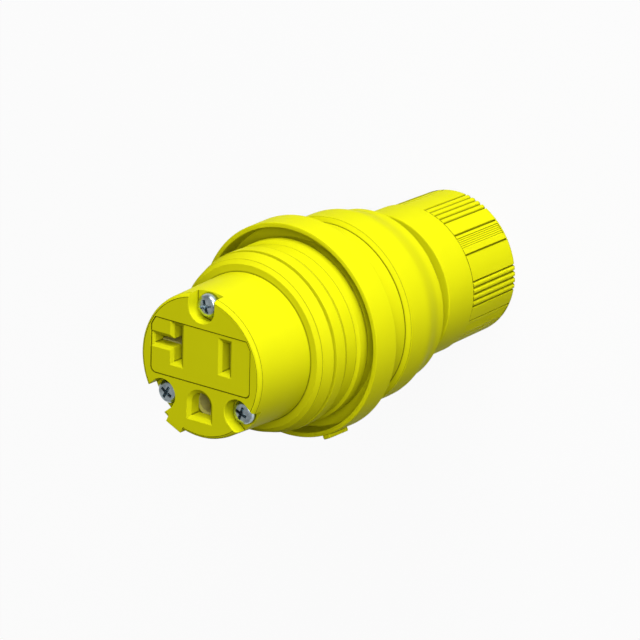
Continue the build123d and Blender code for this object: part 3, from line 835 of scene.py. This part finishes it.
class ConnectorScrews(bpy.types.Operator):
    """Model the pan head face screws with their cross recesses"""
    bl_idname = "connector.screws"
    bl_label = "Face screws"

    def execute(self, context):
        seat = level(SCREW_SEAT)
        top = seat + 1.9
        for place, angle in SCREW_ANGLES.items():
            rings = [(1.2, level(36.0)), (1.7, level(35.5)), (1.7, seat), (2.5, seat), (2.55, seat + 0.12),
                     (2.55, seat + 0.75), (2.48, seat + 1.1), (2.28, seat + 1.45), (1.95, seat + 1.7),
                     (1.5, seat + 1.83), (0.9, top)]
            screw = capped("screw", rings, 72)
            for width, length in ((0.62, 2.9), (2.9, 0.62)):
                arm = tapered_block("recess", (-width / 2, width / 2), (-length / 2, length / 2),
                                    [(top + 0.5, 0.12), (top, 0.04), (top - 1.1, -0.14)])
                cut(screw, arm)
            at_screw(screw, angle, angle + 20)
            complete(screw, "pan_screw_" + place, screw_steel(), ["face_screw_" + place])
        return {"FINISHED"}


class ConnectorInner(bpy.types.Operator):
    """Give the pieces inside and the grommet their finishes"""
    bl_idname = "connector.inner"
    bl_label = "Inner pieces"

    def execute(self, context):
        black = black_moulded()
        metal = contact_metal()
        steel = screw_steel()
        finishes = {
            "contact_holder": yellow_plastic(), "cord_grommet": black, "body_o_ring": black,
            "line_contact": metal, "neutral_contact": metal, "ground_contact": metal,
            "line_terminal_screw": metal, "neutral_terminal_screw": steel,
            "ground_terminal_screw": finish("Green coated steel", metal_finish, (0.03, 0.2, 0.06)),
            "line_clamp_plate": steel, "neutral_clamp_plate": steel, "ground_clamp_plate": steel,
            "screw_insert_top": metal, "screw_insert_left": metal, "screw_insert_right": metal,
            "thrust_washer": finish("Pale moulded nylon", moulded_finish, (0.65, 0.65, 0.6)),
        }
        for name, material in finishes.items():
            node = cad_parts[name]
            node.data.materials.clear()
            node.data.materials.append(material)
        return {"FINISHED"}


# Camera, light and floor

# Angles of the photograph: turn about the face's upright, lift above it, roll of the picture
VIEW_TURN = 37.71
VIEW_LIFT = 19.83
VIEW_ROLL = -1.18

# Lens and sensor in millimetres, width of the field at the object in metres, and the point aimed at
LENS = 1400.0
SENSOR = 36.0
FIELD = 0.13363
AIM = (-0.00192, -0.00172, 0.0443)

# Soft lamps: their distance, and each one's name, direction from the object, diameter and power
LAMP_DISTANCE = 1.3
LAMPS = [
    ("Key light", (0.298, 0.916, 0.27), 1.21, 18.0),
    ("Side light", (0.955, 0.256, 0.15), 0.7, 2.6),
    ("Front light", (0.576, 0.339, 0.744), 0.55, 5.6),
]

# Studio walls, white to the camera: the light they give to the object and their strength in its gloss
WALL_LIGHT = 0.02
WALL_GLOSS = 0.45

# Floor: what it gives back to the object, and how much of it glows white to the camera
BOUNCE = 0.3
GLOW_SHARE = 0.94


def view_axes():
    """Right, up and back directions of the photograph's camera."""
    turn, lift, roll = radians(VIEW_TURN), radians(VIEW_LIFT), radians(VIEW_ROLL)
    back = Vector((sin(turn) * cos(lift), sin(lift), cos(turn) * cos(lift)))
    right = Vector((cos(turn), 0, -sin(turn)))
    up = back.cross(right)
    return right * cos(roll) - up * sin(roll), right * sin(roll) + up * cos(roll), back


def add_area(name, direction, size, energy):
    """A round soft lamp aimed at the object from a direction."""
    only(None)
    bpy.ops.object.light_add(type="AREA", location=Vector(direction).normalized() * LAMP_DISTANCE)
    lamp = bpy.context.object
    lamp.name = name
    lamp.data.shape = "DISK"
    lamp.data.size = size
    lamp.data.energy = energy
    toward = Vector(AIM) - lamp.location
    lamp.rotation_euler = toward.to_track_quat("-Z", "Y").to_euler()


def seen_rays(tree):
    """One for rays that see a surface or its reflection, nought for the light it scatters."""
    path = tree.nodes.new("ShaderNodeLightPath")
    seen = math_node(tree, "MAXIMUM", path.outputs["Is Camera Ray"], path.outputs["Is Glossy Ray"])
    return math_node(tree, "MAXIMUM", seen, path.outputs["Is Transmission Ray"])


def studio_world():
    """White walls that show a little in the gloss and give the object little light."""
    world = bpy.data.worlds.new("Studio")
    world.use_nodes = True
    tree = world.node_tree
    background = tree.nodes["Background"]
    background.inputs["Color"].default_value = (1, 1, 1, 1)
    path = tree.nodes.new("ShaderNodeLightPath")
    gloss = math_node(tree, "MULTIPLY", seen_rays(tree), WALL_GLOSS)
    seen = math_node(tree, "MAXIMUM", path.outputs["Is Camera Ray"], gloss)
    tree.links.new(math_node(tree, "MAXIMUM", seen, WALL_LIGHT), background.inputs["Strength"])
    return world


def floor_material():
    """Pale floor that keeps the soft shadow, reads white to the camera and bounces little light."""
    material = bpy.data.materials.new("Pale floor")
    material.use_nodes = True
    tree = material.node_tree
    shader = tree.nodes["Principled BSDF"]
    shader.inputs["Roughness"].default_value = 0.9
    shader.inputs["Specular IOR Level"].default_value = 0.0
    glow = tree.nodes.new("ShaderNodeEmission")
    glow.inputs["Color"].default_value = (1, 1, 1, 1)
    glow.inputs["Strength"].default_value = 1.0
    seen = seen_rays(tree)
    pale = mix_colour(tree, seen, (BOUNCE, BOUNCE, BOUNCE), tuple(colours().floor))
    tree.links.new(pale, shader.inputs["Base Color"])
    share = math_node(tree, "MULTIPLY", seen, GLOW_SHARE)
    mix = tree.nodes.new("ShaderNodeMixShader")
    tree.links.new(share, mix.inputs["Fac"])
    tree.links.new(shader.outputs["BSDF"], mix.inputs[1])
    tree.links.new(glow.outputs["Emission"], mix.inputs[2])
    tree.links.new(mix.outputs["Shader"], tree.nodes["Material Output"].inputs["Surface"])
    return material


class ConnectorStage(bpy.types.Operator):
    """Set up the camera, the soft studio light and the pale floor"""
    bl_idname = "connector.stage"
    bl_label = "Stage"

    def execute(self, context):
        scene = context.scene
        right, up, back = view_axes()
        only(None)
        bpy.ops.object.camera_add(location=Vector(AIM) + back * FIELD * LENS / SENSOR)
        camera = context.object
        camera.rotation_euler = Matrix((right, up, back)).transposed().to_euler()
        camera.data.lens = LENS
        camera.data.sensor_width = SENSOR
        camera.data.clip_start = 0.05
        camera.data.clip_end = 20.0
        scene.camera = camera
        scene.view_settings.view_transform = "Standard"
        for lamp in LAMPS:
            add_area(*lamp)
        scene.world = studio_world()
        only(None)
        bpy.ops.mesh.primitive_plane_add(size=4.0, location=(0, 0, 0))
        floor = context.object
        floor.name = "floor"
        floor.data.materials.append(floor_material())
        return {"FINISHED"}


class ConnectorPanel(bpy.types.Panel):
    bl_idname = "VIEW3D_PT_connector"
    bl_label = "Connector"
    bl_space_type = "VIEW_3D"
    bl_region_type = "UI"
    bl_category = "Connector"

    def draw(self, context):
        layout = self.layout
        for group in (context.scene.connector_sizes, context.scene.connector_colours):
            box = layout.box()
            for label in group.__annotations__:
                box.prop(group, label)
        for operator in OPERATORS:
            layout.operator(operator.bl_idname)


OPERATORS = (ConnectorStage, ConnectorFace, ConnectorRing, ConnectorCoupling, ConnectorHousing,
             ConnectorNut, ConnectorScrews, ConnectorInner)
CLASSES = (ConnectorSizes, ConnectorColours, *OPERATORS, ConnectorPanel)


def register():
    for item in CLASSES:
        bpy.utils.register_class(item)
    bpy.types.Scene.connector_sizes = bpy.props.PointerProperty(type=ConnectorSizes)
    bpy.types.Scene.connector_colours = bpy.props.PointerProperty(type=ConnectorColours)


def unregister():
    del bpy.types.Scene.connector_colours
    del bpy.types.Scene.connector_sizes
    for item in reversed(CLASSES):
        bpy.utils.unregister_class(item)


def main():
    register()
    bpy.ops.connector.stage()
    bpy.ops.connector.face()
    bpy.ops.connector.ring()
    bpy.ops.connector.coupling()
    bpy.ops.connector.housing()
    bpy.ops.connector.nut()
    bpy.ops.connector.screws()
    bpy.ops.connector.inner()


if __name__ == "__main__":
    main()
